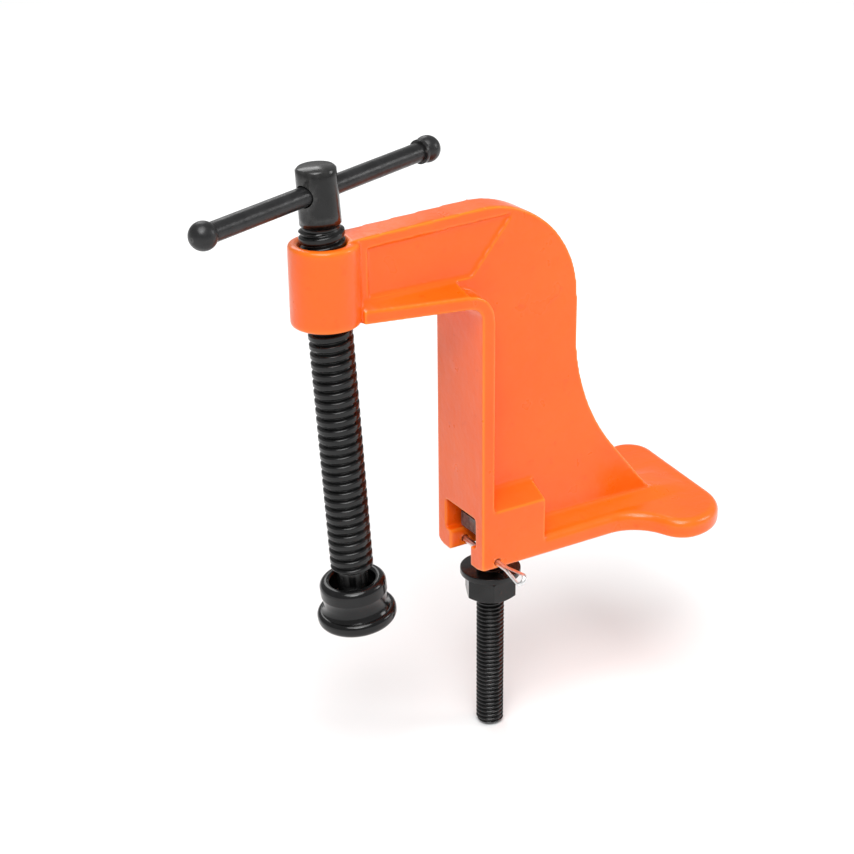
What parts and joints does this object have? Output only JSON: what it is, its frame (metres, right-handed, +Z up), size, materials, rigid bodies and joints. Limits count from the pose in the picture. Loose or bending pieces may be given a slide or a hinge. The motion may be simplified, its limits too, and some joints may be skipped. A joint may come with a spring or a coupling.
{
  "type": "hold-down bench clamp",
  "caption": "Bolt-on bench hold-down clamp: painted C-shaped casting with a heel, leaning clamp screw with sliding T-bar and swivel pad, and a T-slot holding bolt kept by a cotter pin.",
  "frame": {"origin": "where the holding bolt's axis meets the bench plane under the casting, with the bolt as pictured", "axes": "+Z up along the holding bolt, +X from the clamp screw towards the heel, the casting's mid-plane on Y = 0"},
  "size_m": [0.1929, 0.0652, 0.2093],
  "materials": {
    "casting_paint": "glossy orange enamel over cast iron",
    "black_oxide": "black oxide, lightly oiled",
    "spring_steel": "plain spring steel",
    "bright_steel": "bright zinc plate"
  },
  "bodies": {
    "casting": {"clamp_frame": "casting_paint"},
    "retainer": {"pad_retaining_ring": "spring_steel"},
    "screw": {"clamp_screw": "black_oxide"},
    "handle": {"handle_bar": "black_oxide", "bar_end_ball": "black_oxide"},
    "pad": {"swivel_pad": "black_oxide"},
    "bolt": {"holding_bolt": "black_oxide"},
    "washer": {"bolt_washer": "black_oxide"},
    "nut": {"hex_nut": "black_oxide"},
    "cotter": {"cotter_pin": "bright_steel"}
  },
  "joints": [
    {"name": "screw_feed", "type": "slide", "parent": "casting", "child": "retainer", "axis": [-0.0586, 0, 0.9983], "range_m": [-0.0055, 0.087]},
    {"name": "screw_turn", "type": "hinge", "parent": "retainer", "child": "screw", "pos_m": [-0.05222, 0, -0.00302], "axis": [-0.0586, 0, 0.9983], "range_deg": [-637.5, 10102.1]},
    {"name": "handle_slide", "type": "slide", "parent": "screw", "child": "handle", "axis": [0.9517, 0.3019, 0.0559], "range_m": [-0.0368, 0.035]},
    {"name": "pad_tilt", "type": "hinge", "parent": "retainer", "child": "pad", "pos_m": [-0.05222, 0, -0.00302], "axis": [0, 1, 0], "range_deg": [-2, 8]},
    {"name": "bolt_slide", "type": "slide", "parent": "casting", "child": "bolt", "axis": [1, 0, 0], "range_m": [0, 0.0015]},
    {"name": "washer_travel", "type": "slide", "parent": "bolt", "child": "washer", "axis": [0, 0, 1], "range_m": [-0.05, 0.0065]},
    {"name": "nut_turn", "type": "hinge", "parent": "washer", "child": "nut", "pos_m": [0, 0, -0.0129], "axis": [0, 0, 1], "range_deg": [-11336.3, 1471.7]},
    {"name": "cotter_pull", "type": "slide", "parent": "casting", "child": "cotter", "axis": [0, -1, 0], "range_m": [-0.003, 0.036]}
  ],
  "couplings": [
    {"joint": "screw_feed", "follows": "screw_turn", "m_per_rad": 0.00049338},
    {"joint": "washer_travel", "follows": "nut_turn", "m_per_rad": 0.00025266}
  ]
}
